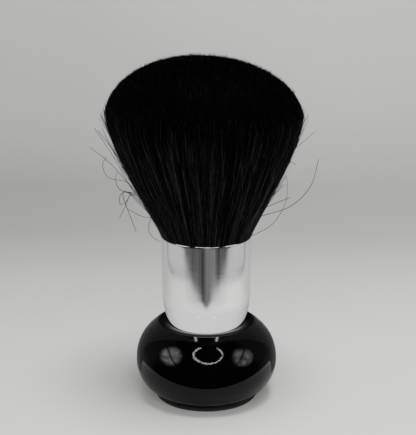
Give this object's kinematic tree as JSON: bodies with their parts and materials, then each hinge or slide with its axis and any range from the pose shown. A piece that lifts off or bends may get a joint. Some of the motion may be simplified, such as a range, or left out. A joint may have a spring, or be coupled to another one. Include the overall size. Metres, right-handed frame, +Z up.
{
  "type": "neck duster brush",
  "caption": "Stand-up neck duster: flared black bristle tuft in a polished aluminium ferrule on a weighted glossy black knob, used to sweep cut hair off the neck.",
  "frame": {"origin": "centre of the foot pad's flat underside, on the surface that the brush stands on", "axes": "+Z up along the brush's axis, from the foot to the bristle tips; the brush is round, and the tuft's one modelled bend turns about +Y"},
  "size_m": [0.0806, 0.0806, 0.145],
  "materials": {
    "foot_pad": "matte",
    "base_cap": "satin",
    "ballast": "satin",
    "base_shell": "gloss",
    "fastener": "satin",
    "ferrule": "polished",
    "plug": "matte",
    "insert": "satin",
    "resin": "gloss",
    "binding": "matte",
    "bristles": "matte"
  },
  "bodies": {
    "handle": {"foot_pad": "foot_pad", "base_cap": "base_cap", "ballast_weight": "ballast", "base_shell": "base_shell", "clamp_washer": "fastener", "clamp_screw": "fastener", "ferrule": "ferrule", "ferrule_plug": "plug", "plug_insert": "insert", "resin_set": "resin", "knot_binding": "binding", "bristle_knot": "bristles"},
    "tuft": {"bristle_tuft": "bristles"}
  },
  "joints": [
    {"name": "bristle_bend", "type": "hinge", "parent": "handle", "child": "tuft", "pos_m": [0, 0, 0.0904], "axis": [0, 1, 0], "range_deg": [-25, 25], "stiffness_Nm_per_rad": 0.25}
  ]
}
